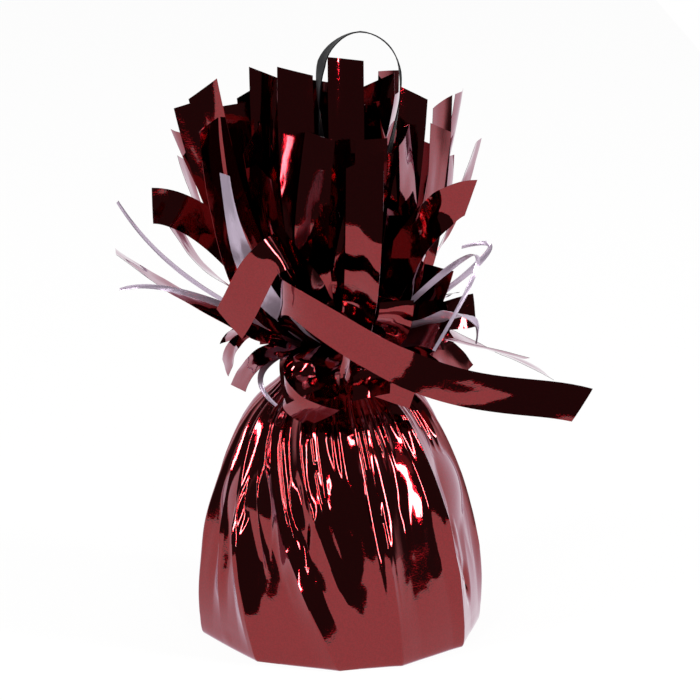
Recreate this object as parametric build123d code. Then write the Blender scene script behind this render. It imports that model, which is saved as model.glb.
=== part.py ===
from build123d import *

import os
from math import atan2, cos, pi, radians, sin, sqrt, tan

# Balloon weight: a plaster dome wrapped in burgundy film. The film is gathered in
# pleats to a tied neck, with a fringe of film strips and a ribbon loop above it.
# Millimetres, +Z up, the base on Z = 0, the front toward -Y.

# Film, drawn thicker than the real foil so that it is a solid
FILM = 0.25
EASE = 0.3  # free gap between pieces that lie against each other
OVERRUN = 1.0  # how far a cutting shape passes the face that it opens

# Weight block
BLOCK_RADIUS = 31.0
BLOCK_HEIGHT = 53.0
BLOCK_TAPER = 5.0  # degrees that the side leans inward
BLOCK_CROWN = 24.0  # round between the side and the flat top
BLOCK_FOOT = 2.0  # round along the foot

# Wrap
PLEATS = 24
PLEAT_DEPTH = 2.4  # deepest pleat, on the shoulder
CORNER_REACH = 2.2  # how far the folded base corners stand out
FOOT_ROUND = 1.0  # how far the base edge draws in under the side
CROWN_RISE = 10.5  # from the block's top to the middle of the neck
NECK_LENGTH = 6.0

# Neck tie
TIE_HEIGHT = 4.0
TIE_THICKNESS = 0.8
TIE_FIT = 0.05

# Fringe
FRINGE_LENGTH = 70.0
STRIP_WIDTH = 8.2
NARROW_WIDTH = 2.0
ROOT_RING = 3.5  # radius of the innermost ring of strip roots in the neck
RING_PITCH = 0.7
ROOT_WIDTH = 1.2  # a strip is gathered to this width in the neck
ROOT_RISE = 4.5  # height above the neck in which a strip still points up

# Ribbon loop
RIBBON_WIDTH = 4.8
RIBBON_THICKNESS = 0.3
LEG_GAP = 2.6  # between the middles of the two legs in the neck
LOOP_HEIGHT = 73.5  # from the neck's top to the top of the loop
LOOP_RADIUS = 9.8
LOOP_SHIFT = 5.0  # the loop leans this far to the right
LOOP_YAW = 20.0  # degrees that the loop's right side is turned to the front
LOOP_LEAN = 3.0  # degrees that the loop leans to the back

# Each strip: name, the degrees from the front to the right at which its root sits in the
# neck, then its bend point and its tip as shares of the fringe length from the middle of
# the neck (right, back, up), the way the tip's cut edge points, and W for a wide or N for
# a narrow strip. The rings of roots run from the outside in.
FRINGE_SHARES = (
    (
        ("long_fold", 336, (-0.62, -0.70, 0.38), (0.77, -0.35, -0.06), (0, 0, -1), "W"),
        ("right_droop", 60, (0.48, -0.24, 0.32), (0.44, -0.18, 0.10), (0.2, 0.9, 0.3), "W"),
        ("right_low", 90, (0.30, -0.02, 0.10), (0.60, 0.04, 0), (0.1, 1, -0.3), "W"),
        ("right_far", 122, (0.34, 0.28, 0.10), (0.70, 0.28, -0.12), (0.1, 1, -0.2), "W"),
        ("back_right_low", 146, (0.26, 0.44, 0.10), (0.32, 0.56, -0.04), (0.4, 0, -0.9), "W"),
        ("back_low", 172, (0.04, 0.52, 0.16), (0.04, 0.70, -0.04), (1, 0, -0.1), "W"),
        ("back_left_low", 198, (-0.20, 0.46, 0.16), (-0.20, 0.62, 0), (0.9, 0, -0.4), "W"),
        ("back_left_droop", 216, (-0.38, 0.36, 0.14), (-0.34, 0.44, 0), (0.6, -0.6, -0.5), "W"),
        ("left_slant", 266, (-0.42, -0.10, 0.15), (-0.72, -0.08, 0.38), (0.4, 0.8, -0.4), "W"),
        ("left_thin_low", 283, (-0.52, -0.26, 0.36), (-0.70, -0.20, 0.28), (0.4, 0, -0.9), "N"),
        ("front_left_hook", 295, (-0.35, -0.30, 0.05), (-0.20, -0.28, -0.08), (0.9, 0, 0.5), "N"),
        ("shoulder_tip", 312, (-0.32, -0.50, 0.02), (-0.05, -0.35, -0.10), (0, 0.7, -0.7), "W"),
        ("front_fold", 2, (-0.12, -0.36, 0.10), (0.24, -0.34, -0.02), (0, 0.2, -1), "W"),
    ),
    (
        ("front_short", 20, (0.08, -0.54, 0.26), (0.08, -0.42, 0.74), (0.9, 0, 0.4), "W"),
        ("right_front_dark", 44, (0.18, -0.38, 0.14), (0.18, -0.36, 0.28), (0.9, 0.4, 0.2), "W"),
        ("right_stub", 86, (0.28, 0, 0.10), (0.32, -0.04, 0.32), (0.1, 0, -1), "W"),
        ("right_thin_hook", 102, (0.72, 0.12, 0.44), (0.40, 0.08, 0.36), (0.7, 0, 0.7), "N"),
        ("right_tab", 120, (0.32, 0.16, 0.10), (0.45, 0.20, 0.12), (0, -0.6, -0.8), "W"),
        ("back_right", 159, (0.19, 0.48, 0.18), (0.24, 0.50, 0.44), (0.8, -0.4, -0.4), "W"),
        ("back_middle", 188, (-0.03, 0.50, 0.20), (0.02, 0.60, 0.48), (1, 0, 0), "W"),
        ("back_left", 212, (-0.26, 0.42, 0.20), (-0.24, 0.52, 0.50), (0.8, 0.5, 0.3), "W"),
        ("left_thin_high", 229, (-0.50, 0.20, 0.10), (-0.73, 0.14, 0.50), (0.8, 0, 0.7), "N"),
        ("left_under", 247, (-0.44, 0.10, 0.19), (-0.56, 0.12, 0.46), (0.2, 1, -0.1), "W"),
        ("front_left_red", 300, (-0.34, -0.34, 0.14), (-0.34, -0.45, 0.23), (0.5, 0, -0.9), "W"),
        ("front_left_facet", 0, (-0.01, -0.38, 0.22), (-0.20, -0.46, 0.52), (0.4, 0.9, 0), "W"),
    ),
    (
        ("right_paddle", 40, (0.30, -0.38, 0.40), (0.41, -0.36, 0.61), (0.1, 0, -1), "W"),
        ("right_thin_front", 75, (0.70, -0.10, 0.74), (0.30, -0.28, 0.10), (1, 0, 0), "N"),
        ("right_pink", 100, (0.34, 0.10, 0.22), (0.36, 0.10, 0.66), (0.3, 0.9, -0.4), "W"),
        ("right_leaf", 134, (0.38, 0.36, 0.22), (0.46, 0.30, 0.67), (0.2, 1, 0.2), "W"),
        ("left_pale", 236, (-0.44, 0.30, 0.22), (-0.52, 0.28, 0.62), (0.2, 1, 0.1), "W"),
        ("left_flag", 279, (-0.38, -0.02, 0.52), (-0.60, -0.08, 0.53), (0.1, 0, -1), "W"),
        ("left_leaf", 308, (-0.38, -0.28, 0.22), (-0.41, -0.24, 0.82), (0.8, 0.4, -0.4), "W"),
        ("left_diamond", 328, (-0.30, -0.46, 0.24), (-0.35, -0.45, 0.70), (0.4, 0, 0.9), "W"),
    ),
    (
        ("front_left_up", 338, (-0.12, -0.34, 0.28), (-0.06, -0.28, 0.79), (1, 0, 0.1), "W"),
        ("front_right_up", 16, (0.10, -0.34, 0.28), (0.10, -0.28, 0.78), (1, 0, -0.3), "W"),
        ("right_broad", 50, (0.28, -0.20, 0.24), (0.32, -0.18, 0.80), (0.6, 0.8, 0.2), "W"),
        ("right_dark", 86, (0.32, -0.04, 0.22), (0.33, -0.04, 0.86), (0.5, 0.8, -0.2), "W"),
        ("right_peak", 118, (0.32, 0.20, 0.24), (0.39, 0.18, 0.86), (0.2, 1, 0.2), "W"),
        ("back_right_up", 150, (0.16, 0.36, 0.24), (0.16, 0.30, 0.91), (0.5, 0.9, 0), "W"),
        ("back_up", 192, (-0.10, 0.38, 0.24), (-0.14, 0.32, 0.84), (1, 0, 0.2), "W"),
        ("left_tab", 220, (-0.34, 0.26, 0.26), (-0.52, 0.20, 0.72), (-0.2, 0.7, -0.7), "W"),
        ("left_high_back", 249, (-0.36, 0.10, 0.26), (-0.48, 0.06, 0.84), (0.9, 0, 0.5), "W"),
        ("left_high_front", 306, (-0.28, -0.24, 0.26), (-0.43, -0.16, 0.92), (0.6, 0, 0.8), "W"),
    ),
    (
        ("front_left_high", 292, (-0.22, -0.10, 0.28), (-0.23, -0.04, 0.95), (0.8, 0, 0.6), "W"),
        ("inner_front_left", 328, (-0.14, -0.26, 0.28), (-0.14, -0.12, 0.97), (1, 0, 0.3), "W"),
        ("inner_middle", 16, (0.03, -0.24, 0.28), (0.02, -0.06, 1), (1, 0, -0.1), "W"),
        ("inner_right", 54, (0.20, -0.18, 0.28), (0.24, -0.12, 0.90), (0.3, 1, -0.1), "W"),
        ("inner_right_low", 98, (0.22, 0.08, 0.28), (0.28, 0.07, 0.82), (0.4, 0.8, -0.5), "W"),
        ("inner_back_right", 150, (0.12, 0.20, 0.28), (0.19, 0.16, 0.86), (0.4, 0.9, -0.3), "W"),
        ("inner_back_left", 220, (-0.14, 0.24, 0.28), (-0.20, 0.22, 0.86), (1, 0, 0.3), "W"),
    ),
)
STRIP_STATION_SHARES = (0.0, 0.07, 0.16, 0.3, 0.45, 0.6, 0.7, 0.8, 0.9, 1.0)
ROOT_SHARE = 0.5  # share of a strip's length over which it opens to its full width

# Wrap levels on the block: height as a share of the block's, pleat depth and corner reach
# as shares of the two sizes above. Crown levels: height share from the last of them to the
# neck, and radius share from the neck's out to the shoulder's.
SIDE_LEVEL_SHARES = (
    (0.0, 0.0, 1.0),
    (0.04, 0.0, 1.0),
    (0.25, 0.3, 0.6),
    (0.45, 0.5, 0.4),
    (0.6, 0.6, 0.3),
    (0.7, 0.7, 0.2),
    (0.78, 0.9, 0.1),
    (0.84, 1.0, 0.1),
)
CROWN_LEVEL_SHARES = ((0.25, 0.95), (0.5, 0.84), (0.75, 0.64), (0.92, 0.4))
NECK_PLEAT_SHARE = 0.2

# How far each pleat stands out, and which of them are folded corners at the base
PLEAT_SHARES = (
    1.0, 0.5, 0.9, 0.6, 0.8, 1.0, 0.4, 1.0, 0.6, 0.9, 1.0, 0.5,
    0.8, 1.0, 0.6, 0.9, 1.0, 0.5, 0.8, 1.0, 0.6, 0.9, 1.0, 0.7,
)
CORNER_SHARES = (
    1.0, 0.35, 0.1, 0.1, 0.35, 1.0, 0.5, 1.0, 0.4, 0.4, 1.0, 0.3,
    0.3, 1.0, 0.3, 0.3, 1.0, 0.3, 0.3, 1.0, 0.3, 0.3, 1.0, 0.4,
)

LAST_RING = len(FRINGE_SHARES) - 1
OUTER_RING = ROOT_RING + LAST_RING * RING_PITCH
NECK_RADIUS = OUTER_RING + FILM / 2 + EASE  # inside of the neck at its valleys
NECK_BASE = FILM + BLOCK_HEIGHT + CROWN_RISE - NECK_LENGTH / 2
NECK_TOP = NECK_BASE + NECK_LENGTH
FRINGE_ORIGIN = Vector(0, 0, NECK_BASE + NECK_LENGTH / 2)


def between(start, end, share):
    return start + (end - start) * share


def block_radius(height):
    """Radius of the block at a height above its foot."""
    lean = radians(BLOCK_TAPER)
    arc_height = BLOCK_HEIGHT - BLOCK_CROWN
    arc_centre = (BLOCK_RADIUS * cos(lean) - BLOCK_CROWN - arc_height * sin(lean)) / cos(lean)
    if height <= arc_height + BLOCK_CROWN * sin(lean):
        return BLOCK_RADIUS - height * tan(lean)
    return arc_centre + sqrt(max(BLOCK_CROWN**2 - (height - arc_height) ** 2, 0))


def make_weight_block():
    top_radius = BLOCK_RADIUS - BLOCK_HEIGHT * tan(radians(BLOCK_TAPER))
    block = Cone(BLOCK_RADIUS, top_radius, BLOCK_HEIGHT, align=(Align.CENTER, Align.CENTER, Align.MIN))
    rims = block.edges().filter_by(GeomType.CIRCLE).sort_by(Axis.Z)
    block = fillet(rims[-1], BLOCK_CROWN)
    rims = block.edges().filter_by(GeomType.CIRCLE).sort_by(Axis.Z)
    block = fillet(rims[0], BLOCK_FOOT)
    return Pos(0, 0, FILM) * block


def wrap_levels():
    """Height, inside radius at the valleys, pleat depth and corner reach of each level."""
    levels = []
    for height_share, pleat_share, corner_share in SIDE_LEVEL_SHARES:
        height = height_share * BLOCK_HEIGHT
        radius = block_radius(max(height - FILM, 0)) + EASE
        levels.append([height, radius, pleat_share * PLEAT_DEPTH, corner_share * CORNER_REACH])
    levels[0][1] = levels[0][1] - FOOT_ROUND
    shoulder_height, shoulder_radius, shoulder_depth, shoulder_reach = levels[-1]
    neck_depth = NECK_PLEAT_SHARE * PLEAT_DEPTH
    for height_share, radius_share in CROWN_LEVEL_SHARES:
        height = between(shoulder_height, NECK_BASE, height_share)
        radius = between(NECK_RADIUS, shoulder_radius, radius_share)
        depth = between(shoulder_depth, neck_depth, height_share**2)
        levels.append([height, radius, depth, 0.0])
    levels.append([NECK_BASE, NECK_RADIUS, neck_depth, 0.0])
    levels.append([NECK_TOP, NECK_RADIUS, neck_depth, 0.0])
    return levels


def wrap_section(level, height, skin):
    """Pleated outline of one level, with the film's thickness added as skin."""
    _, radius, depth, reach = level
    points = []
    for pleat in range(PLEATS):
        ridge = depth * PLEAT_SHARES[pleat % len(PLEAT_SHARES)]
        corner = reach * CORNER_SHARES[pleat % len(CORNER_SHARES)]
        following = reach * CORNER_SHARES[(pleat + 1) % len(CORNER_SHARES)]
        for half, out in ((0.0, ridge + corner), (0.5, (corner + following) / 2)):
            turn = 2 * pi * (pleat + half) / PLEATS
            away = radius + skin + out
            points.append(Vector(away * sin(turn), -away * cos(turn), height))
    return make_face(Polyline(*points, close=True))


def make_foil_wrap():
    levels = wrap_levels()
    outside = [wrap_section(level, level[0], FILM) for level in levels]
    inside = [wrap_section(level, max(level[0], FILM), 0) for level in levels]
    inside.append(wrap_section(levels[-1], NECK_TOP + OVERRUN, 0))
    return loft(outside, ruled=True) - loft(inside, ruled=True)


def make_neck_tie():
    hole = NECK_RADIUS + FILM + NECK_PLEAT_SHARE * PLEAT_DEPTH + TIE_FIT
    ring = Circle(hole + TIE_THICKNESS) - Circle(hole)
    return Pos(0, 0, NECK_BASE + (NECK_LENGTH - TIE_HEIGHT) / 2) * extrude(ring, TIE_HEIGHT)


def make_ribbon_loop():
    top = NECK_LENGTH + LOOP_HEIGHT
    spring = top - LOOP_RADIUS
    left, right = LOOP_SHIFT - LOOP_RADIUS, LOOP_SHIFT + LOOP_RADIUS
    leg = LEG_GAP / 2
    bend = NECK_LENGTH + ROOT_RISE / 2
    left_leg = Polyline((-leg, 0), (-leg, bend), (left, spring))
    arch = RadiusArc((left, spring), (right, spring), LOOP_RADIUS)
    right_leg = Polyline((right, spring), (leg, bend), (leg, 0))
    line = left_leg + arch + right_leg
    band = offset(line, RIBBON_THICKNESS / 2, kind=Kind.INTERSECTION)
    ribbon = extrude(Plane.XZ * make_face(band), RIBBON_WIDTH / 2, both=True)
    foot = Pos(0, 0, NECK_BASE)
    return foot * Rot(-LOOP_LEAN, 0, 0) * Rot(0, 0, -LOOP_YAW) * ribbon


def strip_line(turn, ring_radius, bend_share, tip_share, share):
    """Point and direction of a strip's middle line at a share of its run above the neck."""
    root = Vector(ring_radius * sin(turn), -ring_radius * cos(turn), NECK_TOP)
    rise = root + Vector(0, 0, ROOT_RISE)
    bend = FRINGE_ORIGIN + Vector(bend_share) * FRINGE_LENGTH
    tip = FRINGE_ORIGIN + Vector(tip_share) * FRINGE_LENGTH
    rest = 1 - share
    point = root * rest**3 + rise * 3 * rest**2 * share + bend * 3 * rest * share**2 + tip * share**3
    heading = (rise - root) * rest**2 + (bend - rise) * 2 * rest * share + (tip - bend) * share**2
    return point, heading.normalized()


def strip_frames(turn, ring_radius, bend_share, tip_share, tip_edge):
    """Point, direction and width direction at each station, twisting evenly to the tip."""
    edge = Vector(cos(turn), sin(turn), 0)
    frames = []
    for share in STRIP_STATION_SHARES:
        point, heading = strip_line(turn, ring_radius, bend_share, tip_share, share)
        edge = (edge - heading * edge.dot(heading)).normalized()
        frames.append((share, point, heading, edge))
    heading, edge = frames[-1][2:]
    twist = atan2(heading.cross(edge).dot(Vector(tip_edge)), edge.dot(Vector(tip_edge)))
    twist = twist - pi * round(twist / pi)  # either way round, the strip looks the same
    turned = []
    for share, point, heading, edge in frames:
        side = heading.cross(edge)
        turned.append((share, point, heading, edge * cos(twist * share) + side * sin(twist * share)))
    return turned


def make_strip(turn, ring_radius, bend_share, tip_share, tip_edge, full_width):
    root_edge = Vector(cos(turn), sin(turn), 0)
    start = Vector(ring_radius * sin(turn), -ring_radius * cos(turn), NECK_BASE)
    root_width = min(ROOT_WIDTH, full_width)
    sections = [Plane(start, x_dir=root_edge, z_dir=(0, 0, 1)) * Rectangle(root_width, FILM)]
    for share, point, heading, edge in strip_frames(turn, ring_radius, bend_share, tip_share, tip_edge):
        width = between(root_width, full_width, min(share / ROOT_SHARE, 1))
        sections.append(Plane(point, x_dir=edge, z_dir=heading) * Rectangle(width, FILM))
    return loft(sections, ruled=True)


def make_fringe():
    strips = {}
    for ring, rows in enumerate(FRINGE_SHARES):
        ring_radius = OUTER_RING - ring * RING_PITCH
        for name, turn, bend_share, tip_share, tip_edge, kind in rows:
            full_width = STRIP_WIDTH if kind == "W" else NARROW_WIDTH
            strips["fringe_" + name] = make_strip(
                radians(turn), ring_radius, bend_share, tip_share, tip_edge, full_width
            )
    return strips


def main():
    pieces = {
        "weight_block": make_weight_block(),
        "foil_wrap": make_foil_wrap(),
        "neck_tie": make_neck_tie(),
        "ribbon_loop": make_ribbon_loop(),
    }
    pieces.update(make_fringe())
    os.makedirs("parts", exist_ok=True)
    for name, shape in pieces.items():
        export_step(shape, f"parts/{name}.step")


if __name__ == "__main__":
    main()
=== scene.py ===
import math
import random

import bpy
from mathutils import Matrix, Vector, noise


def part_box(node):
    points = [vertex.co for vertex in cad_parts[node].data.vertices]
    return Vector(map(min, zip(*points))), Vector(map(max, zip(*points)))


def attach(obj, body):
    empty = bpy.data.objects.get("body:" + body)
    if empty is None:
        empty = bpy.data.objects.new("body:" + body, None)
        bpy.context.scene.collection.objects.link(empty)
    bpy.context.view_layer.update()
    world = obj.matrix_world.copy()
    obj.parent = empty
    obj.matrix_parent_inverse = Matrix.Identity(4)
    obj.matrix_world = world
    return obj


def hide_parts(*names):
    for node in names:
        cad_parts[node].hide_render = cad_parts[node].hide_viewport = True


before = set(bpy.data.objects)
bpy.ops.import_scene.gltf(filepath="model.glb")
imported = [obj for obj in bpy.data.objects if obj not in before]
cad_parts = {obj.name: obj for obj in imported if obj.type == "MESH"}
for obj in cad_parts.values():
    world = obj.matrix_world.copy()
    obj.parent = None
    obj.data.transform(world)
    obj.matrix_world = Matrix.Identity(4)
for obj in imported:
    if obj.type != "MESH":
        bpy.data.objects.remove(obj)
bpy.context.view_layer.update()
bpy.ops.object.select_all(action="DESELECT")
mm = 0.001
body = "root"
crispAngle = math.radians(40)  # edges of film strips and of the ribbon stay sharp past this
print("frame loaded:", len(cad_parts), "nodes")


def linear(hexText):
    parts = [int(hexText[i:i + 2], 16) / 255 for i in (1, 3, 5)]
    return [p / 12.92 if p <= 0.04045 else ((p + 0.055) / 1.055) ** 2.4 for p in parts] + [1.0]


def addNode(tree, kind, settings=None, links=None):
    node = tree.nodes.new(kind)
    for key, value in (settings or {}).items():
        if isinstance(key, int) or key in node.inputs:
            node.inputs[key].default_value = value
        else:
            setattr(node, key, value)
    for key, source in (links or {}).items():
        tree.links.new(source, node.inputs[key])
    return node


def newMaterial(name):
    material = bpy.data.materials.new(name)
    material.use_nodes = True
    material.node_tree.nodes.clear()
    return material, material.node_tree


def smoothStep(low, high, value):
    share = min(max((value - low) / (high - low), 0.0), 1.0)
    return share * share * (3 - 2 * share)


def between(start, end, share):
    return start + (end - start) * share


def alongTable(table, value):
    for (a, low), (b, high) in zip(table, table[1:]):
        if value <= b:
            return between(low, high, min(max((value - a) / (b - a), 0.0), 1.0))
    return table[-1][1]


def smoothTable(table, value, reach):
    return sum(alongTable(table, value + reach * step / 3) for step in range(-3, 4)) / 7


def applyModifiers(piece):
    bpy.context.view_layer.objects.active = piece
    for modifier in list(piece.modifiers):
        bpy.ops.object.modifier_apply(modifier=modifier.name)


def shapedGrid(name, columns, rows, placePoint):
    bpy.ops.object.select_all(action="DESELECT")
    bpy.ops.mesh.primitive_grid_add(x_subdivisions=columns, y_subdivisions=rows, size=2)
    piece = bpy.context.object
    piece.name = piece.data.name = name
    for vertex in piece.data.vertices:
        across, along = (vertex.co.x + 1) / 2, (vertex.co.y + 1) / 2
        vertex.co = placePoint(across, along)
    return piece


# Materials

film = {
    # what the coloured lacquer leaves of white light, where it is thick and thin
    "colours": ("#7C070F", "#870C16"),
    "roughness": 0.05,
    "coatRoughness": 0.03,
    "edge": "#F0DAF2",  # and the mauve it turns at a grazing look
    "grain": 0.32 * mm,  # drawn coarser than the real grain so that it shows
    "grainDepth": 0.009 * mm,
    "crinkle": 6 * mm,
    "crinkleDepth": 0.05 * mm,
}


def makeFilm():
    # metallised polyester: bright aluminium under red lacquer and a clear skin,
    # a dark red mirror that goes pale at a grazing look
    material, tree = newMaterial("metallised_polyester_film")
    place = addNode(tree, "ShaderNodeTexCoord")
    crinkle = addNode(tree, "ShaderNodeTexNoise", {"Scale": 1 / film["crinkle"], "Detail": 2.0},
                      {"Vector": place.outputs["Object"]})
    grain = addNode(tree, "ShaderNodeTexNoise", {"Scale": 1 / film["grain"], "Detail": 0.0},
                    {"Vector": place.outputs["Object"]})
    wave = addNode(tree, "ShaderNodeBump", {"Strength": 1.0, "Distance": film["crinkleDepth"]},
                   {"Height": crinkle.outputs["Fac"]})
    grit = addNode(tree, "ShaderNodeBump", {"Strength": 1.0, "Distance": film["grainDepth"]},
                   {"Height": grain.outputs["Fac"], "Normal": wave.outputs["Normal"]})
    mottle = addNode(tree, "ShaderNodeMapRange", {"From Min": 0.35, "From Max": 0.65},
                     {"Value": grain.outputs["Fac"]})
    lacquer = addNode(tree, "ShaderNodeMix", {
        "data_type": "RGBA", 6: linear(film["colours"][0]), 7: linear(film["colours"][1]),
    }, {0: mottle.outputs["Result"]})
    shader = addNode(tree, "ShaderNodeBsdfPrincipled", {
        "Metallic": 1.0, "Roughness": film["roughness"], "Specular Tint": linear(film["edge"]),
        "Coat Weight": 0.9, "Coat Roughness": film["coatRoughness"],
    }, {
        "Base Color": lacquer.outputs[2], "Normal": grit.outputs["Normal"],
        "Coat Normal": wave.outputs["Normal"],
    })
    addNode(tree, "ShaderNodeOutputMaterial", {}, {"Surface": shader.outputs["BSDF"]})
    return material


filmBack = {"colour": "#B9A9BC", "roughness": 0.28, "draw": 1.5 * mm, "drawDepth": 0.03 * mm}


def makeFilmBack():
    # bare aluminised back of the film, a little blue and duller than the lacquered face
    material, tree = newMaterial("aluminised_film_back")
    place = addNode(tree, "ShaderNodeTexCoord")
    draw = addNode(tree, "ShaderNodeTexNoise", {"Scale": 1 / filmBack["draw"], "Detail": 2.0},
                   {"Vector": place.outputs["Object"]})
    bump = addNode(tree, "ShaderNodeBump", {"Strength": 1.0, "Distance": filmBack["drawDepth"]},
                   {"Height": draw.outputs["Fac"]})
    shader = addNode(tree, "ShaderNodeBsdfPrincipled", {
        "Base Color": linear(filmBack["colour"]), "Metallic": 0.6, "Roughness": filmBack["roughness"],
    }, {"Normal": bump.outputs["Normal"]})
    addNode(tree, "ShaderNodeOutputMaterial", {}, {"Surface": shader.outputs["BSDF"]})
    return material


ribbonLook = {
    "colour": "#0B0B10",
    "roughness": 0.5,
    "ribScale": 6.0,  # gives about 19 ribs across the ribbon, 0.25 mm each
    "ribDepth": 0.02 * mm,
}


def makeRibbonPlastic():
    # polypropylene curling ribbon: drawn film with fine lengthwise ribs, satin black
    material, tree = newMaterial("polypropylene_ribbon")
    place = addNode(tree, "ShaderNodeUVMap", {"uv_map": "ribbon"})
    ribs = addNode(tree, "ShaderNodeTexWave", {
        "wave_type": "BANDS", "bands_direction": "X", "Scale": ribbonLook["ribScale"], "Distortion": 0.4,
    }, {"Vector": place.outputs["UV"]})
    bump = addNode(tree, "ShaderNodeBump", {"Strength": 0.6, "Distance": ribbonLook["ribDepth"]},
                   {"Height": ribs.outputs["Fac"]})
    shader = addNode(tree, "ShaderNodeBsdfPrincipled", {
        "Base Color": linear(ribbonLook["colour"]), "Roughness": ribbonLook["roughness"], "IOR": 1.49,
        "Specular IOR Level": 0.1,
    }, {"Normal": bump.outputs["Normal"]})
    addNode(tree, "ShaderNodeOutputMaterial", {}, {"Surface": shader.outputs["BSDF"]})
    return material


plaster = {"colour": "#D9D4CA", "pore": 1.2 * mm, "poreDepth": 0.1 * mm}


def makePlaster():
    # cast gypsum plaster: matt, chalky, with small air pores
    material, tree = newMaterial("cast_plaster")
    place = addNode(tree, "ShaderNodeTexCoord")
    pores = addNode(tree, "ShaderNodeTexNoise", {"Scale": 1 / plaster["pore"], "Detail": 3.0},
                    {"Vector": place.outputs["Object"]})
    bump = addNode(tree, "ShaderNodeBump", {"Strength": 0.5, "Distance": plaster["poreDepth"]},
                   {"Height": pores.outputs["Fac"]})
    shader = addNode(tree, "ShaderNodeBsdfPrincipled", {
        "Base Color": linear(plaster["colour"]), "Roughness": 0.85,
    }, {"Normal": bump.outputs["Normal"]})
    addNode(tree, "ShaderNodeOutputMaterial", {}, {"Surface": shader.outputs["BSDF"]})
    return material


band = {"colour": "#3A0E16", "grit": 0.8 * mm, "gritDepth": 0.05 * mm}


def makeTieBand():
    # latex band: dull, slightly grainy skin
    material, tree = newMaterial("latex_band")
    place = addNode(tree, "ShaderNodeTexCoord")
    grit = addNode(tree, "ShaderNodeTexNoise", {"Scale": 1 / band["grit"], "Detail": 2.0},
                   {"Vector": place.outputs["Object"]})
    bump = addNode(tree, "ShaderNodeBump", {"Strength": 0.4, "Distance": band["gritDepth"]},
                   {"Height": grit.outputs["Fac"]})
    shader = addNode(tree, "ShaderNodeBsdfPrincipled", {
        "Base Color": linear(band["colour"]), "Roughness": 0.55,
    }, {"Normal": bump.outputs["Normal"]})
    addNode(tree, "ShaderNodeOutputMaterial", {}, {"Surface": shader.outputs["BSDF"]})
    return material


filmMaterial = makeFilm()
backMaterial = makeFilmBack()
for node, material in (("weight_block", makePlaster()), ("neck_tie", makeTieBand())):
    cadPiece = bpy.data.objects[node]
    cadPiece.data.materials.clear()
    cadPiece.data.materials.append(material)
print("materials made")

# Neck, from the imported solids

tieLow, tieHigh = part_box("neck_tie")
neckMiddle = (tieLow[2] + tieHigh[2]) / 2
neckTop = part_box("foil_wrap")[1][2]
neckBase = 2 * neckMiddle - neckTop
tieWall = 1.6 * mm  # the band and the folds of film inside it
neckInside = (tieHigh[0] - tieLow[0]) / 2 - tieWall

# Wrap: one sheet drawn up round the block and gathered at the neck

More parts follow.
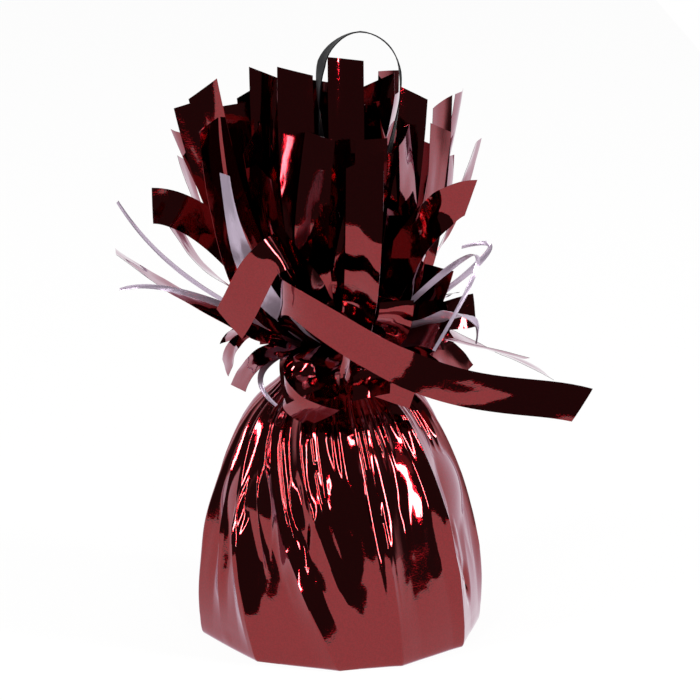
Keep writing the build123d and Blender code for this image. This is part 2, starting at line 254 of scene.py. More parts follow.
wrap = {
    "columns": 720,
    "film": 0.1 * mm,
    "merge": 0.004 * mm,  # closes the seam and the middle of the base
    "crispAngle": math.radians(60),
    "flat": (0.205, 0.1),
    "seed": 12,
    # below, lengths are in millimetres and turns in degrees from the front to the right
    "baseRows": 5,
    "heights": [0, 0.5, 1, 1.6, 2.4, 3.3] + [4.4 + h * 1.05 for h in range(54)],
    "neckRows": 5,
    "underside": 0.12,
    "baseRadius": 31.6,
    "baseSpread": 0.8,  # under 1 the rows of the base lie closer near the foot
    "clearance": 0.3,  # from the block
    "smooth": 4,  # height over which the tables below are evened out
    # height and radius of the outer folds
    "profile": (
        (0, 32.4), (1.2, 33.0), (4, 33.2), (15, 32.7), (21, 32.0), (29, 30.9), (35, 29.4),
        (40, 27.9), (44.5, 26.2), (48.6, 24.3), (52.6, 21.8), (56.7, 17.8), (59.5, 12.8), (60.7, 9.4),
    ),
    # folded corners, how much of them shows at the foot and at the shoulder, and the heights where they fade
    "corners": (0, 25.5, 59, 92, 118, 146, 181, 218, 252, 283, 325),
    "cornerFoot": 0.88,
    "cornerTop": 0.25,
    "cornerFade": (6, 44),
    "flatSide": (59, 92),  # this panel stays flat further up
    "flatSideTop": 0.7,
    # main folds: turn at the foot and at the shoulder, start height, half width and rise
    "folds": (
        (0, -45, -6, 5.0, 2.2), (14, -27, 6, 4.2, 1.9), (23, 7, 2, 3.4, 1.7), (26, 14, -6, 4.4, 2.1),
        (59, 47, -6, 5.2, 2.4), (92, 88, 0, 3.6, 1.4), (118, 114, -6, 5.0, 2.2),
        (146, 138, -6, 4.6, 2.2), (181, 174, -6, 5.0, 2.2), (200, 196, 6, 3.8, 1.8),
        (218, 214, -6, 4.6, 2.1), (252, 250, -6, 5.0, 2.2), (282, 282, -2, 4.4, 2.0),
        (300, 290, 4, 3.6, 1.7), (322, 296, 0, 4.4, 2.0),
    ),
    "foldLean": (0.6, 1.5),  # how much steeper one side of a fold is
    "foldGrow": 12,  # height in which a fold comes to its full rise
    "foldCurve": 1.35,
    "foldReach": 30,
    "foldOverlap": 0.2,  # how far folds that overlap add up
    "foldFoot": (0.3, 5, 28),  # share of the rise near the foot, and the heights where it changes
    "shoulder": 56,
    # small pleats between them, and the turns that have none below the shoulder
    "pleats": 46,
    "pleatJitter": 0.35,
    "pleatStart": (12, 40),
    "pleatWidth": (1.2, 2.8),
    "pleatRise": (0.6, 1.6),
    "pleatLean": (0.5, 1.8),
    "calm": ((28, 57), (61, 108)),
    "calmStart": (40, 48),
    "calmWidth": 0.6,
    "calmEdge": 3,
    # height and depth of the film between the folds, and in the first calm panel, which leans in evenly
    "valley": ((0, 0), (13, 0.1), (26, 1.2), (38, 2.0), (48, 2.3), (56, 2.0), (60.7, 0.9)),
    "calmValley": (
        (0, 0), (8, -0.2), (15, 0.35), (20, 0.75), (26, 1.0), (38, 0.95), (46, 1.6), (56, 2.0), (60.7, 0.9),
    ),
    # dents in the calm side: foot turn, height, half width in degrees, half height and depth
    "dents": ((65, 27, 5, 9, 1.1), (71, 14, 5, 6, 1.2), (66, 19, 4, 4, 0.7), (78, 33, 6, 7, 0.8)),
    # soft waves and inward crumples: how close they lie round and up, their place in the noise and depth
    "ripple": (4.5, 0.06, 0, 0.35),
    "crumple": (7, 0.055, 7, 1.0),
    "calmCrumple": 0.35,
    "shoulderCrumple": 0.25,
    "crumpleFade": (32, 44),
    "waveStart": (8, 24),
    # neck: its foot, the film's stand-off, the share of the folds that is left, and where they are read
    "neckFoot": 60.7,
    "neckFilm": 0.45,
    "neckFolds": 0.35,
    "neckGather": (59, 9),
}


def blockProfile():
    points = {}
    for vertex in bpy.data.objects["weight_block"].data.vertices:
        radius = math.hypot(vertex.co.x, vertex.co.y)
        points[round(vertex.co.z, 6)] = max(points.get(round(vertex.co.z, 6), 0), radius)
    return sorted(points.items())


def foldTurns():
    # where the film of each turn at the foot comes to at the shoulder, round past both ends
    pairs = sorted((foot % 360, foot % 360 + (top - foot + 180) % 360 - 180)
                   for foot, top, *rest in wrap["folds"])
    return [(a + shift, b + shift) for shift in (-360, 0, 360) for a, b in pairs]


def calm(foot):
    return any(low < foot % 360 < high for low, high in wrap["calm"])


def pleatLines(turns):
    # foot turn, start height, half width, rise and lean of every fold and pleat
    rng = random.Random(wrap["seed"])
    lines = [(foot % 360, start, width, rise, rng.uniform(*wrap["foldLean"]))
             for foot, top, start, width, rise in wrap["folds"]]
    backward = [(b, a) for a, b in turns]
    jitter = wrap["pleatJitter"]
    for k in range(wrap["pleats"]):
        foot = alongTable(backward, 360 * (k + rng.uniform(-jitter, jitter)) / wrap["pleats"]) % 360
        start, width, rise = [rng.uniform(*wrap[name]) for name in ("pleatStart", "pleatWidth", "pleatRise")]
        if calm(foot):
            start, width = rng.uniform(*wrap["calmStart"]), wrap["calmWidth"] * width
        lines.append((foot, start, width, rise, rng.uniform(*wrap["pleatLean"])))
    return lines


def turnAt(turns, foot, height):
    return math.radians(between(foot, alongTable(turns, foot), min(height / wrap["shoulder"], 1)))


def foldRise(lines, turns, foot, height, radius):
    # how far the film stands out at a place, in millimetres
    highest, total = 0.0, 0.0
    here = turnAt(turns, foot, height)
    for low, start, width, rise, lean in lines:
        if abs((foot - low + 180) % 360 - 180) > wrap["foldReach"]:
            continue
        off = (here - turnAt(turns, low, height) + math.pi) % math.tau - math.pi
        away = abs(off) * radius / width * (lean if off > 0 else 1 / lean)
        if away < 1:
            grown = smoothStep(start, start + wrap["foldGrow"], height)
            stand = rise * grown * (1 - away) ** wrap["foldCurve"]
            highest = max(highest, stand)
            total += stand
    return between(highest, total, wrap["foldOverlap"])


def cornerShare(turn):
    corners = [math.radians(c) for c in wrap["corners"]]
    turn = turn % math.tau
    for a, b in zip(corners, corners[1:] + [corners[0] + math.tau]):
        place = turn if turn >= a else turn + math.tau
        if a <= place <= b:
            return math.cos((b - a) / 2) / math.cos(place - (a + b) / 2)
    return 1.0


def panelShare(foot, height):
    low, high = wrap["flatSide"]
    top = wrap["flatSideTop"] if low < foot < high else wrap["cornerTop"]
    left = between(wrap["cornerFoot"], top, smoothStep(*wrap["cornerFade"], height))
    return between(1, cornerShare(math.radians(foot)), left)


def valleyDepth(foot, height):
    low, high = wrap["calm"][0]
    edge = wrap["calmEdge"]
    even = smoothStep(low - edge, low + edge, foot) - smoothStep(high - edge, high + edge, foot)
    plain, leaning = [smoothTable(wrap[name], height, wrap["smooth"]) for name in ("valley", "calmValley")]
    return between(plain, leaning, even)


def waveAt(name, turn, height):
    around, upward, offset, depth = wrap[name]
    spot = Vector((math.sin(turn) * around, math.cos(turn) * around, height * upward + offset))
    return depth * noise.noise(spot)


def sideRadius(lines, turns, block, foot, height):
    # radius of the film on the side and the shoulder, in millimetres
    turn = turnAt(turns, foot, height)
    outer = smoothTable(wrap["profile"], height, min(height, wrap["smooth"]))
    footShare, *fade = wrap["foldFoot"]
    risen = between(footShare, 1, smoothStep(*fade, height))
    radius = outer * panelShare(foot, height) - valleyDepth(foot, height)
    radius += risen * foldRise(lines, turns, foot, height, outer)
    crumple = abs(waveAt("crumple", turn, height)) * (wrap["calmCrumple"] if calm(foot) else 1)
    crumple *= between(1, wrap["shoulderCrumple"], smoothStep(*wrap["crumpleFade"], height))
    radius += (waveAt("ripple", turn, height) - crumple) * smoothStep(*wrap["waveStart"], height)
    for at, middle, wide, tall, deep in wrap["dents"]:
        away = math.hypot((foot - at) / wide, (height - middle) / tall)
        radius -= deep * (1 - smoothStep(0, 1, away))
    return max(radius, alongTable(block, height * mm) / mm + wrap["clearance"])


def makeWrap():
    turns = foldTurns()
    lines = pleatLines(turns)
    block = blockProfile()
    heights, baseRows, neckRows = wrap["heights"], wrap["baseRows"], wrap["neckRows"]
    rows = baseRows + len(heights) + neckRows - 1

    def place(across, along):
        row = round(along * rows)
        foot = 360 * across
        if row < baseRows:
            share = row / baseRows
            turn, height = math.radians(foot), wrap["underside"]
            radius = wrap["baseRadius"] * share ** wrap["baseSpread"] * between(1, cornerShare(turn), share)
        elif row < baseRows + len(heights):
            height = heights[row - baseRows]
            turn = turnAt(turns, foot, height)
            radius = sideRadius(lines, turns, block, foot, height)
            height = max(height, wrap["underside"])
        else:
            share = (row - baseRows - len(heights) + 1) / neckRows
            turn = turnAt(turns, foot, wrap["neckFoot"])
            height = between(wrap["neckFoot"], neckTop / mm, share)
            folds = wrap["neckFolds"] * foldRise(lines, turns, foot, *wrap["neckGather"])
            radius = neckInside / mm + wrap["neckFilm"] + folds
        return Vector((radius * math.sin(turn), -radius * math.cos(turn), height)) * mm

    piece = shapedGrid("foil_wrap_film", wrap["columns"], rows, place)
    bpy.ops.object.mode_set(mode="EDIT")
    bpy.ops.mesh.select_all(action="SELECT")
    bpy.ops.mesh.remove_doubles(threshold=wrap["merge"])
    bpy.ops.mesh.normals_make_consistent(inside=False)
    bpy.ops.object.mode_set(mode="OBJECT")
    thick = piece.modifiers.new("film", "SOLIDIFY")
    thick.thickness, thick.offset = wrap["film"], -1
    applyModifiers(piece)
    bpy.ops.object.shade_smooth_by_angle(angle=wrap["crispAngle"])
    piece.data.materials.append(filmMaterial)
    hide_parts("foil_wrap")
    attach(piece, body)
    return piece


wrapPiece = makeWrap()
print("wrap gathered")

# Fringe: a strip of film for each packed one, rolled to a gutter in the neck

fringe = {
    "length": 70 * mm,
    "wide": 8.2 * mm,
    "narrow": 2.0 * mm,
    "rootRing": 3.5 * mm,
    "ringPitch": 0.7 * mm,
    "rootRise": 2.5 * mm,
    "rootFlare": 4.0 * mm,
    "neckChord": 4.2 * mm,
    "film": 0.07 * mm,
    "columns": 8,
    "narrowColumns": 4,
    "rows": 56,
    "neckShare": 0.08,  # share of the rows that lie in the neck
    "openShare": 0.2,  # share of the run over which a strip opens out flat
    "gutter": 0.9,
    "turnShare": 0.6,  # share over which it turns to the way of its cut
    # strips that turn sooner and then keep that way
    "quickTurn": {
        "long_fold": 0.3, "left_flag": 0.45, "front_fold": 0.3, "front_left_red": 0.5, "right_paddle": 0.5,
    },
    "levelShare": 0.1,
    # how far the lower edge of such a strip tips back, by share of its run
    "tips": {
        "long_fold": ((0, 0.28), (0.60, 0.28), (0.68, -0.12), (1, -0.12)),
        "front_left_red": ((0, 0.25), (1, 0.25)),
        "right_paddle": ((0, -0.1), (0.82, -0.1), (0.88, 0.3), (1, 0.3)),
    },
    # bends of strips that fold over in front, in place of the one in their row
    "bends": {
        "long_fold": ((-0.55, -0.66, 0.80), (0.02, -0.62, 0.12), (0.26, -0.42, -0.06), (0.50, -0.40, 0.02)),
        "front_left_red": ((-0.20, -0.40, 0.30), (-0.16, -0.62, 0.74), (-0.24, -0.56, 0.40)),
        "right_paddle": ((0.20, -0.36, 0.58),),
    },
    # wide strips that show the back of the film, as the narrow ones do, and how both run to a point
    "backOut": ("left_diamond", "right_droop"),
    "backTaper": (0.8, 0.25),
    "backTaperShare": 0.6,
    "narrowTaper": (1.4, 0.35),
    # limits of what each strip draws for itself: its turn on the way and at a tall tip, in degrees,
    # the slant of its cut, the place, reach, skew and depth of its kinks, and its cup
    "sway": (10, 38),
    "narrowSway": 1.5,
    "tallTip": 0.75,
    "tallTurn": 34,
    "slant": 0.5,
    "slantShare": 0.7,
    "kinks": 2,
    "kinkPlace": (0.25, 0.85),
    "kinkReach": (0.12, 0.25),
    "kinkSkew": 0.12,
    "kinkDepth": (0.5 * mm, 1.3 * mm),
    "cup": 0.5 * mm,
    # waves in the film: how close they lie across and along, their place in the noise and depth
    "waves": ((0.5, 5.0, 0, 0.55 * mm), (1.4, 13.0, 9, 0.16 * mm)),
    "waveShares": (0.05, 0.5),
    "narrowWaves": 0.2,
    "drift": 50,  # the noise of each strip starts this far off at most
    # name, root turn, bend, tip (right, back, up), way of the tip's cut, wide or narrow
    "rings": (
        (
            ("long_fold", 336, (-0.62, -0.70, 0.38), (0.77, -0.35, -0.06), (0, 0, -1), "W"),
            ("right_droop", 60, (0.48, -0.24, 0.32), (0.44, -0.18, 0.10), (0.2, 0.9, 0.3), "W"),
            ("right_low", 90, (0.30, -0.02, 0.10), (0.60, 0.04, 0), (0.1, 1, -0.3), "W"),
            ("right_far", 122, (0.34, 0.28, 0.10), (0.70, 0.28, -0.12), (0.1, 1, -0.2), "W"),
            ("back_right_low", 146, (0.26, 0.44, 0.10), (0.32, 0.56, -0.04), (0.4, 0, -0.9), "W"),
            ("back_low", 172, (0.04, 0.52, 0.16), (0.04, 0.70, -0.04), (1, 0, -0.1), "W"),
            ("back_left_low", 198, (-0.20, 0.46, 0.16), (-0.20, 0.62, 0), (0.9, 0, -0.4), "W"),
            ("back_left_droop", 216, (-0.38, 0.36, 0.14), (-0.34, 0.44, 0), (0.6, -0.6, -0.5), "W"),
            ("left_slant", 266, (-0.42, -0.10, 0.15), (-0.72, -0.08, 0.38), (0.4, 0.8, -0.4), "W"),
            ("left_thin_low", 283, (-0.52, -0.26, 0.36), (-0.70, -0.20, 0.28), (0.4, 0, -0.9), "N"),
            ("front_left_hook", 295, (-0.35, -0.30, 0.05), (-0.20, -0.28, -0.08), (0.9, 0, 0.5), "N"),
            ("shoulder_tip", 312, (-0.32, -0.50, 0.02), (-0.05, -0.35, -0.10), (0, 0.7, -0.7), "W"),
            ("front_fold", 2, (-0.12, -0.36, 0.10), (0.24, -0.34, -0.02), (0, 0.2, -1), "W"),
        ),
        (
            ("front_short", 20, (0.08, -0.54, 0.26), (0.08, -0.42, 0.74), (0.9, 0, 0.4), "W"),
            ("right_front_dark", 44, (0.18, -0.38, 0.14), (0.18, -0.36, 0.28), (0.9, 0.4, 0.2), "W"),
            ("right_stub", 86, (0.28, 0, 0.10), (0.32, -0.04, 0.32), (0.1, 0, -1), "W"),
            ("right_thin_hook", 102, (0.72, 0.12, 0.44), (0.40, 0.08, 0.36), (0.7, 0, 0.7), "N"),
            ("right_tab", 120, (0.32, 0.16, 0.10), (0.45, 0.20, 0.12), (0, -0.6, -0.8), "W"),
            ("back_right", 159, (0.19, 0.48, 0.18), (0.24, 0.50, 0.44), (0.8, -0.4, -0.4), "W"),
            ("back_middle", 188, (-0.03, 0.50, 0.20), (0.02, 0.60, 0.48), (1, 0, 0), "W"),
            ("back_left", 212, (-0.26, 0.42, 0.20), (-0.24, 0.52, 0.50), (0.8, 0.5, 0.3), "W"),
            ("left_thin_high", 229, (-0.50, 0.20, 0.10), (-0.73, 0.14, 0.50), (0.8, 0, 0.7), "N"),
            ("left_under", 247, (-0.44, 0.10, 0.19), (-0.56, 0.12, 0.46), (0.2, 1, -0.1), "W"),
            ("front_left_red", 300, (-0.34, -0.34, 0.14), (-0.34, -0.45, 0.23), (0.5, 0, -0.9), "W"),
            ("front_left_facet", 0, (-0.01, -0.38, 0.22), (-0.20, -0.46, 0.52), (0.4, 0.9, 0), "W"),
        ),
        (
            ("right_paddle", 40, (0.30, -0.38, 0.40), (0.41, -0.36, 0.61), (0.1, 0, -1), "W"),
            ("right_thin_front", 75, (0.70, -0.10, 0.74), (0.30, -0.28, 0.10), (1, 0, 0), "N"),
            ("right_pink", 100, (0.34, 0.10, 0.22), (0.36, 0.10, 0.66), (0.3, 0.9, -0.4), "W"),
            ("right_leaf", 134, (0.38, 0.36, 0.22), (0.46, 0.30, 0.67), (0.2, 1, 0.2), "W"),
            ("left_pale", 236, (-0.44, 0.30, 0.22), (-0.52, 0.28, 0.62), (0.2, 1, 0.1), "W"),
            ("left_flag", 279, (-0.38, -0.02, 0.52), (-0.60, -0.08, 0.53), (0.1, 0, -1), "W"),
            ("left_leaf", 308, (-0.38, -0.28, 0.22), (-0.41, -0.24, 0.82), (0.8, 0.4, -0.4), "W"),
            ("left_diamond", 328, (-0.30, -0.46, 0.24), (-0.35, -0.45, 0.70), (0.4, 0, 0.9), "W"),
        ),
        (
            ("front_left_up", 338, (-0.12, -0.34, 0.28), (-0.06, -0.28, 0.79), (1, 0, 0.1), "W"),
            ("front_right_up", 16, (0.10, -0.34, 0.28), (0.10, -0.28, 0.78), (1, 0, -0.3), "W"),
            ("right_broad", 50, (0.28, -0.20, 0.24), (0.32, -0.18, 0.80), (0.6, 0.8, 0.2), "W"),
            ("right_dark", 86, (0.32, -0.04, 0.22), (0.33, -0.04, 0.86), (0.5, 0.8, -0.2), "W"),
            ("right_peak", 118, (0.32, 0.20, 0.24), (0.39, 0.18, 0.86), (0.2, 1, 0.2), "W"),
            ("back_right_up", 150, (0.16, 0.36, 0.24), (0.16, 0.30, 0.91), (0.5, 0.9, 0), "W"),
            ("back_up", 192, (-0.10, 0.38, 0.24), (-0.14, 0.32, 0.84), (1, 0, 0.2), "W"),
            ("left_tab", 220, (-0.34, 0.26, 0.26), (-0.52, 0.20, 0.72), (-0.2, 0.7, -0.7), "W"),
            ("left_high_back", 249, (-0.36, 0.10, 0.26), (-0.48, 0.06, 0.84), (0.9, 0, 0.5), "W"),
            ("left_high_front", 306, (-0.28, -0.24, 0.26), (-0.43, -0.16, 0.92), (0.6, 0, 0.8), "W"),
        ),
        (
            ("front_left_high", 292, (-0.22, -0.10, 0.28), (-0.23, -0.04, 0.95), (0.8, 0, 0.6), "W"),
            ("inner_front_left", 328, (-0.14, -0.26, 0.28), (-0.14, -0.12, 0.97), (1, 0, 0.3), "W"),
            ("inner_middle", 16, (0.03, -0.24, 0.28), (0.02, -0.06, 1), (1, 0, -0.1), "W"),
            ("inner_right", 54, (0.20, -0.18, 0.28), (0.24, -0.12, 0.90), (0.3, 1, -0.1), "W"),
            ("inner_right_low", 98, (0.22, 0.08, 0.28), (0.28, 0.07, 0.82), (0.4, 0.8, -0.5), "W"),
            ("inner_back_right", 150, (0.12, 0.20, 0.28), (0.19, 0.16, 0.86), (0.4, 0.9, -0.3), "W"),
            ("inner_back_left", 220, (-0.14, 0.24, 0.28), (-0.20, 0.22, 0.86), (1, 0, 0.3), "W"),
        ),
    ),
}


def alongBends(points, share):
    # place and heading on the smooth line that a row of bends draws
    while len(points) > 2:
        points = [a.lerp(b, share) for a, b in zip(points, points[1:])]
    return points[0].lerp(points[1], share), (points[1] - points[0]).normalized()


def stripFrames(turn, ring, bends, tipShare, tipEdge, turnShare, sway, tips):
    # middle line, heading and width direction at each row, twisting evenly to the tip
    origin = Vector((0, 0, neckMiddle))
    root = Vector((ring * math.sin(turn), -ring * math.cos(turn), neckTop))
    rise = root + Vector((math.sin(turn), -math.cos(turn), 0)) * fringe["rootFlare"]
    rise.z += fringe["rootRise"]
    line = [root, rise] + [origin + Vector(share) * fringe["length"] for share in (*bends, tipShare)]
    edge = Vector((math.cos(turn), math.sin(turn), 0))
    rows, neckShare = fringe["rows"], fringe["neckShare"]
    frames = []
    for row in range(rows + 1):
        share = (row / rows - neckShare) / (1 - neckShare)
        if share < 0:
            down = share * (1 - neckShare) / neckShare
            point = root + Vector((0, 0, (neckTop - neckBase) * down))
            heading = Vector((0, 0, 1))
        else:
            point, heading = alongBends(line, share)
        edge = (edge - heading * edge.dot(heading)).normalized()
        frames.append((max(share, 0), point, heading, edge.copy()))
    heading, edge = frames[-1][2:]
    twist = math.atan2(heading.cross(edge).dot(Vector(tipEdge)), edge.dot(Vector(tipEdge)))
    twist = twist - math.pi * round(twist / math.pi)
    turned = []
    for share, point, heading, edge in frames:
        angle = twist * smoothStep(0, turnShare, share) + sway * math.sin(math.pi * share) ** 2
        edge = Matrix.Rotation(angle, 3, heading) @ edge
        if sway == 0:
            level = Vector(tipEdge) + Vector((0, alongTable(tips, share), 0))
            level -= heading * heading.dot(level)
            level = level.normalized() * (1 if level.dot(edge) > 0 else -1)
            edge = edge.lerp(level, smoothStep(fringe["levelShare"], turnShare, share)).normalized()
        turned.append((share, point, heading, edge))
    return turned


def makeStrip(name, ring, turn, bendShare, tipShare, tipEdge, width, seed):
    rows = fringe["rows"]
    rng = random.Random(seed)
    narrow = width < fringe["wide"] / 2
    pale = narrow or name in fringe["backOut"]
    turnShare = fringe["quickTurn"].get(name, fringe["turnShare"])
    sway = 0
    if name not in fringe["quickTurn"]:
        sway = rng.choice((-1, 1)) * math.radians(rng.uniform(*fringe["sway"]))
    if narrow:
        sway *= fringe["narrowSway"]
    bends = fringe["bends"].get(name, (bendShare,))
    tips = fringe["tips"].get(name, ((0, 0), (1, 0)))
    if sway and tipShare[2] > fringe["tallTip"] and not name.startswith("right"):
        tipTurn = math.radians(rng.uniform(-fringe["tallTurn"], fringe["tallTurn"]))
        tipEdge = Matrix.Rotation(tipTurn, 3, "Z") @ Vector(tipEdge)
    frames = stripFrames(math.radians(turn), ring, bends, tipShare, tipEdge, turnShare, sway, tips)
    slant = rng.uniform(-fringe["slant"], fringe["slant"])
    kinks = [(rng.uniform(*fringe["kinkPlace"]), rng.uniform(*fringe["kinkReach"]),
              rng.uniform(-fringe["kinkSkew"], fringe["kinkSkew"]),
              rng.choice((-1, 1)) * rng.uniform(*fringe["kinkDepth"])) for k in range(fringe["kinks"])]
    cupTip = rng.uniform(-fringe["cup"], fringe["cup"]) * width / fringe["wide"]
    drift = Vector([rng.uniform(-fringe["drift"], fringe["drift"]) for axis in range(3)])
    softness = min(1, width / fringe["wide"] + fringe["narrowWaves"])

    def creaseAt(side, share):
        crease = sum(depth * noise.noise(drift + Vector((side * across, share * along, offset)))
                     for across, along, offset, depth in fringe["waves"])
        crease += sum(depth * max(0, 1 - abs(share - at + skew * side) / reach)
                      for at, reach, skew, depth in kinks)
        return crease * softness * smoothStep(*fringe["waveShares"], share)

    def place(across, along):
        share, point, heading, edge = frames[round(along * rows)]
        opened = smoothStep(0, fringe["openShare"], share)
        chord = between(min(fringe["neckChord"], width), width, opened)
        # sag of an arc that is as long as the strip is wide
        gutter = math.sqrt(max(3 / 8 * chord * (width - chord), 0)) * fringe["gutter"]
        if narrow:
            chord *= between(*fringe["narrowTaper"], share)
        elif pale:
            chord *= between(*fringe["backTaper"], smoothStep(fringe["backTaperShare"], 1, share))
        side = 2 * across - 1
        bow = (gutter + cupTip * opened) * (1 - side * side)
        cut = side * chord / 2 * slant * smoothStep(fringe["slantShare"], 1, share)
        out = heading.cross(edge) * (creaseAt(side, share) - bow)
        return point + edge * (side * chord / 2) + heading * cut + out

    piece = shapedGrid("film_" + name, fringe["narrowColumns" if narrow else "columns"], rows, place)
    thick = piece.modifiers.new("film", "SOLIDIFY")
    thick.thickness, thick.offset = fringe["film"], 0
    applyModifiers(piece)
    bpy.ops.object.shade_smooth_by_angle(angle=crispAngle)
    piece.data.materials.append(backMaterial if pale else filmMaterial)
    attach(piece, body)
    return piece


def makeFringe():
    strips = []
    for ringNumber, ringRows in enumerate(fringe["rings"]):
        ring = fringe["rootRing"] + (len(fringe["rings"]) - 1 - ringNumber) * fringe["ringPitch"]
        for rowNumber, (name, turn, bendShare, tipShare, tipEdge, kind) in enumerate(ringRows):
            width = fringe["wide"] if kind == "W" else fringe["narrow"]
            seed = 100 * ringNumber + rowNumber
            strips.append(makeStrip(name, ring, turn, bendShare, tipShare, tipEdge, width, seed))
            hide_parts("fringe_" + name)
    return strips


# Shorter strips among them, which make the tuft dense and hide the neck

tuftFill = {
    "seed": 5,
    # how far places and turns stray: of the root, of the tip to one side, and of the way of its cut
    "jitter": 0.4,
    "aside": 0.12,
    "twist": 0.6,
    "rings": 4,  # rings of roots that the strips are spread over
    "frontDrop": 0.18,  # the tuft opens to the front
    "clear": (290, 350),  # turns where the second group would stand before front_left_red
    # count, then least and most of the tip's reach and height and the bend's reach and height, as shares
    "groups": (
        (44, (0.12, 0.33), (0.62, 0.90), (0.20, 0.30), (0.20, 0.28)),
        (12, (0.30, 0.40), (0.10, 0.34), (0.24, 0.32), (0.14, 0.18)),
        (13, (0.38, 0.43), (-0.06, 0.03), (0.32, 0.36), (0.11, 0.15)),
    ),
    # root turn, bend, tip and way of the cut of those that stand left of front_left_high
    "left": (
        (300, (-0.25, -0.10, 0.28), (-0.33, -0.03, 0.80), (0.8, 0.3, 0.5)),
        (284, (-0.28, 0.04, 0.28), (-0.36, 0.08, 0.83), (0.9, 0.2, 0.3)),
        (262, (-0.24, 0.10, 0.28), (-0.28, 0.12, 0.88), (1, 0, -0.3)),
    ),
}


def makeFill():
    rng = random.Random(tuftFill["seed"])
    low, high = tuftFill["clear"]
    jitter, shift, twist = tuftFill["jitter"], tuftFill["aside"], tuftFill["twist"]
    rows = []
    for group, (count, *ranges) in enumerate(tuftFill["groups"]):
        for k in range(count):
            turn = 360 * (k + rng.uniform(-jitter, jitter)) / count
            front = math.cos(math.radians(turn))
            out = Vector((math.sin(math.radians(turn)), -front, 0))
            aside = Vector((-out.y, out.x, 0))
            reach, tall, bendReach, bendTall = [rng.uniform(*limits) for limits in ranges]
            if group == 0:
                tall -= tuftFill["frontDrop"] * max(front, 0)
            if group == 1 and low < turn % 360 < high:
                continue
            bendShare = out * bendReach + Vector((0, 0, bendTall))
            tipShare = out * reach + aside * rng.uniform(-shift, shift) + Vector((0, 0, tall))
            tipEdge = aside + Vector([rng.uniform(-twist, twist) for axis in range(3)])
            ring = fringe["rootRing"] + rng.uniform(0, tuftFill["rings"]) * fringe["ringPitch"]
            name, seed = f"{group + 1}_{k + 1}", 1000 * (group + 1) + k
            rows.append((name, ring, turn, bendShare, tipShare, tipEdge, seed))
    for k, (turn, bendShare, tipShare, tipEdge) in enumerate(tuftFill["left"]):
        seed = 1000 * (len(tuftFill["groups"]) + 1) + k
        rows.append((f"left_{k + 1}", fringe["rootRing"], turn, bendShare, tipShare, tipEdge, seed))
    return [makeStrip("fill_" + name, ring, turn, bendShare, tipShare, tipEdge, fringe["wide"], seed)
            for name, ring, turn, bendShare, tipShare, tipEdge, seed in rows]


stripPieces = makeFringe() + makeFill()
print("fringe cut:", len(stripPieces), "strips")

# Ribbon loop: one flat ribbon from the neck up, over and back

loop = {
    "width": 4.8 * mm,
    "thick": 0.25 * mm,
    "yaw": math.radians(20),  # the right side is turned to the front
    "lean": math.radians(3),  # and the loop leans back
    # right and up from the foot of the neck, in millimetres
    "route": ((-1.3, 0), (-1.3, 9), (-2.6, 30), (-4.2, 52), (-5.4, 66), (-3.6, 74), (4.6, 79.2),
              (12.8, 75.6), (15.4, 67), (11.6, 50), (6.6, 28), (1.6, 9), (1.3, 0)),
    # share of the run and turn of the ribbon about its own line
    "twist": ((0, 0), (0.3, 0), (0.42, 42), (0.5, -8), (0.58, -24), (0.72, 0), (1, 0)),
    "columns": 6,
    "rows": 140,
}


def loopLine():
    lean = Matrix.Rotation(-loop["lean"], 3, "X") @ Matrix.Rotation(-loop["yaw"], 3, "Z")
    curve = bpy.data.curves.new("loop_route", "CURVE")
    curve.dimensions = "3D"
    curve.resolution_u = 24
    spline = curve.splines.new("NURBS")
    spline.points.add(len(loop["route"]) - 1)
    for point, (right, up) in zip(spline.points, loop["route"]):
        point.co = (*(lean @ Vector((right * mm, 0, up * mm)) + Vector((0, 0, neckBase))), 1)
    spline.order_u = 3
    spline.use_endpoint_u = True
    guide = bpy.data.objects.new("loop_route", curve)
    line = [v.co.copy() for v in bpy.data.meshes.new_from_object(guide).vertices]
    bpy.data.objects.remove(guide)
    return line, lean @ Vector((0, 1, 0))


def evenPoints(line, count):
    lengths = [0.0]
    for a, b in zip(line, line[1:]):
        lengths.append(lengths[-1] + (b - a).length)
    points, k = [], 0
    for n in range(count + 1):
        goal = lengths[-1] * n / count
        while k < len(line) - 2 and lengths[k + 1] < goal:
            k += 1
        step = max(lengths[k + 1] - lengths[k], 1e-9)
        points.append(line[k].lerp(line[k + 1], (goal - lengths[k]) / step))
    return points, lengths[-1]


def makeLoop():
    line, across = loopLine()
    points, length = evenPoints(line, loop["rows"])

    def place(acrossShare, along):
        row = round(along * loop["rows"])
        ahead = points[min(row + 1, loop["rows"])] - points[max(row - 1, 0)]
        turn = Matrix.Rotation(math.radians(alongTable(loop["twist"], along)), 3, ahead.normalized())
        return points[row] + (turn @ across) * ((acrossShare - 0.5) * loop["width"])

    piece = shapedGrid("ribbon_loop_band", loop["columns"], loop["rows"], place)
    layer = piece.data.uv_layers[0] if piece.data.uv_layers else piece.data.uv_layers.new()
    layer.name = "ribbon"
    thick = piece.modifiers.new("ribbon", "SOLIDIFY")
    thick.thickness, thick.offset = loop["thick"], 0
    applyModifiers(piece)
    bpy.ops.object.shade_smooth_by_angle(angle=crispAngle)
    piece.data.materials.append(makeRibbonPlastic())
    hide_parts("ribbon_loop")
    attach(piece, body)
    return piece


makeLoop()
print("ribbon loop set")

# Studio

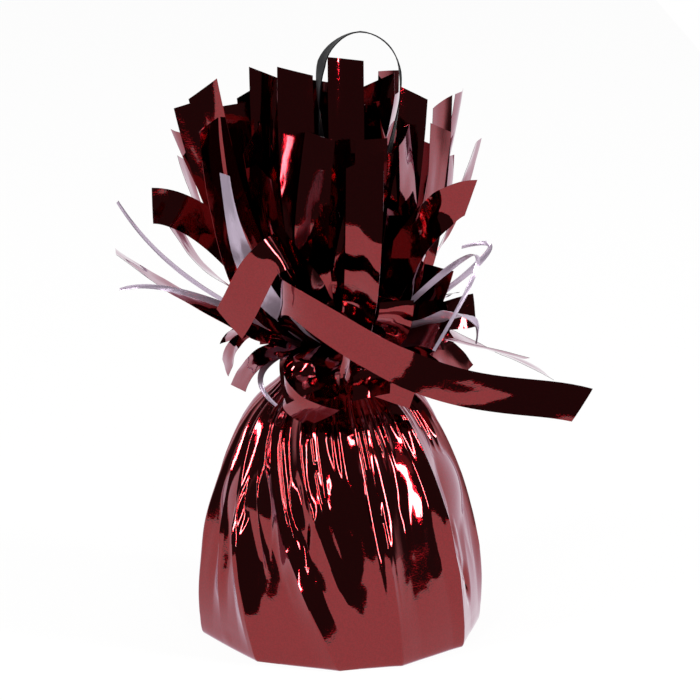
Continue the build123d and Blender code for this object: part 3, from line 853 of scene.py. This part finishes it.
studio = {
    "floorLeft": -3.0,
    "floorRight": 0.2,
    "floorFront": -0.26,  # the pale sheet ends here, and the studio in front of it is dark
    "floorBack": 5.0,
    "paper": "#F4F3F2",
    "paperWhite": 0.94,  # share that looks plain white, and the rest takes the shadow
    # what the film mirrors: dark in front, white behind, between these shares of a ray's way back and up
    "dark": 0.05,
    "behind": (0.1, 0.45),
    "low": (0.75, 0.45),
    "softLevel": 0.5,  # light from all round on what isn't a mirror
    # place, size and radiance of each soft box
    "boxes": (
        ((0.85, -0.30, 0.45), (0.11, 0.88), 30.0),
        ((-0.70, -0.48, 0.56), (0.06, 0.72), 32.0),
        ((0.34, -0.95, 0.78), (0.05, 0.6), 30.0),
        ((-0.42, -0.88, 0.72), (0.05, 0.6), 30.0),
        ((0.0, 0.35, 1.25), (0.5, 0.25), 4.0),
    ),
    "target": (0.0, 0.0, 0.06),
    "lens": 145.7,
    "sensor": 36,
    "cameraPlace": (0.0024, -0.6307, 0.2233),
    "cameraTilt": math.radians(76),
}


def rayShares(tree):
    path = addNode(tree, "ShaderNodeLightPath")
    seen = addNode(tree, "ShaderNodeMath", {"operation": "MAXIMUM"},
                   {0: path.outputs["Is Camera Ray"], 1: path.outputs["Is Transmission Ray"]})
    return seen.outputs[0], path.outputs["Is Glossy Ray"]


def makeFloor():
    bpy.ops.object.select_all(action="DESELECT")
    bpy.ops.mesh.primitive_plane_add(size=2)
    floor = bpy.context.object
    floor.name = "paper_floor"
    for vertex in floor.data.vertices:
        vertex.co.x = studio["floorLeft"] if vertex.co.x < 0 else studio["floorRight"]
        vertex.co.y = studio["floorFront"] if vertex.co.y < 0 else studio["floorBack"]
    material, tree = newMaterial("white_card_floor")
    seen, glossy = rayShares(tree)
    share = addNode(tree, "ShaderNodeMath", {"operation": "MAXIMUM"}, {0: seen, 1: glossy})
    level = addNode(tree, "ShaderNodeMath", {"operation": "MULTIPLY", 1: studio["paperWhite"]},
                    {0: share.outputs[0]})
    matt = addNode(tree, "ShaderNodeBsdfDiffuse", {"Color": linear(studio["paper"])})
    white = addNode(tree, "ShaderNodeEmission", {"Color": (1, 1, 1, 1), "Strength": 1.0})
    mix = addNode(tree, "ShaderNodeMixShader", {}, {
        0: level.outputs[0], 1: matt.outputs[0], 2: white.outputs[0]})
    addNode(tree, "ShaderNodeOutputMaterial", {}, {"Surface": mix.outputs[0]})
    floor.data.materials.append(material)


def makeWorld():
    world = bpy.data.worlds.new("studio")
    bpy.context.scene.world = world
    world.use_nodes = True
    tree = world.node_tree
    tree.nodes.clear()
    look = addNode(tree, "ShaderNodeTexCoord")
    parts = addNode(tree, "ShaderNodeSeparateXYZ", {}, {0: look.outputs["Generated"]})
    behind, low = [addNode(tree, "ShaderNodeMapRange", {
        "interpolation_type": "SMOOTHSTEP", "From Min": studio[name][0], "From Max": studio[name][1],
    }, {"Value": parts.outputs[axis]}) for name, axis in (("behind", "Y"), ("low", "Z"))]
    screen = addNode(tree, "ShaderNodeMath", {"operation": "MULTIPLY"},
                     {0: behind.outputs["Result"], 1: low.outputs["Result"]})
    mirrored = addNode(tree, "ShaderNodeMapRange", {"To Min": studio["dark"], "To Max": 1.0},
                       {"Value": screen.outputs[0]})
    seen, glossy = rayShares(tree)
    soft = addNode(tree, "ShaderNodeMix", {"data_type": "FLOAT", 2: studio["softLevel"]},
                   {0: glossy, 3: mirrored.outputs["Result"]})
    level = addNode(tree, "ShaderNodeMath", {"operation": "MAXIMUM"}, {0: seen, 1: soft.outputs[0]})
    back = addNode(tree, "ShaderNodeBackground", {"Color": (1, 1, 1, 1)}, {"Strength": level.outputs[0]})
    addNode(tree, "ShaderNodeOutputWorld", {}, {"Surface": back.outputs[0]})


def makeLamps():
    for number, (place, size, radiance) in enumerate(studio["boxes"]):
        lamp = bpy.data.lights.new(f"soft_box_{number}", "AREA")
        lamp.shape = "RECTANGLE"
        lamp.size, lamp.size_y = size
        lamp.energy = radiance * math.pi * size[0] * size[1]
        holder = bpy.data.objects.new(lamp.name, lamp)
        bpy.context.collection.objects.link(holder)
        holder.location = place
        way = Vector(studio["target"]) - Vector(place)
        holder.rotation_euler = way.to_track_quat("-Z", "Y").to_euler()


def makeCamera():
    data = bpy.data.cameras.new("camera")
    data.lens, data.sensor_width = studio["lens"], studio["sensor"]
    camera = bpy.data.objects.new("camera", data)
    bpy.context.collection.objects.link(camera)
    camera.location = studio["cameraPlace"]
    camera.rotation_euler = (studio["cameraTilt"], 0, 0)
    bpy.context.scene.camera = camera


makeFloor()
makeWorld()
makeLamps()
makeCamera()
bpy.context.scene.view_settings.view_transform = "Standard"
print("studio lit")
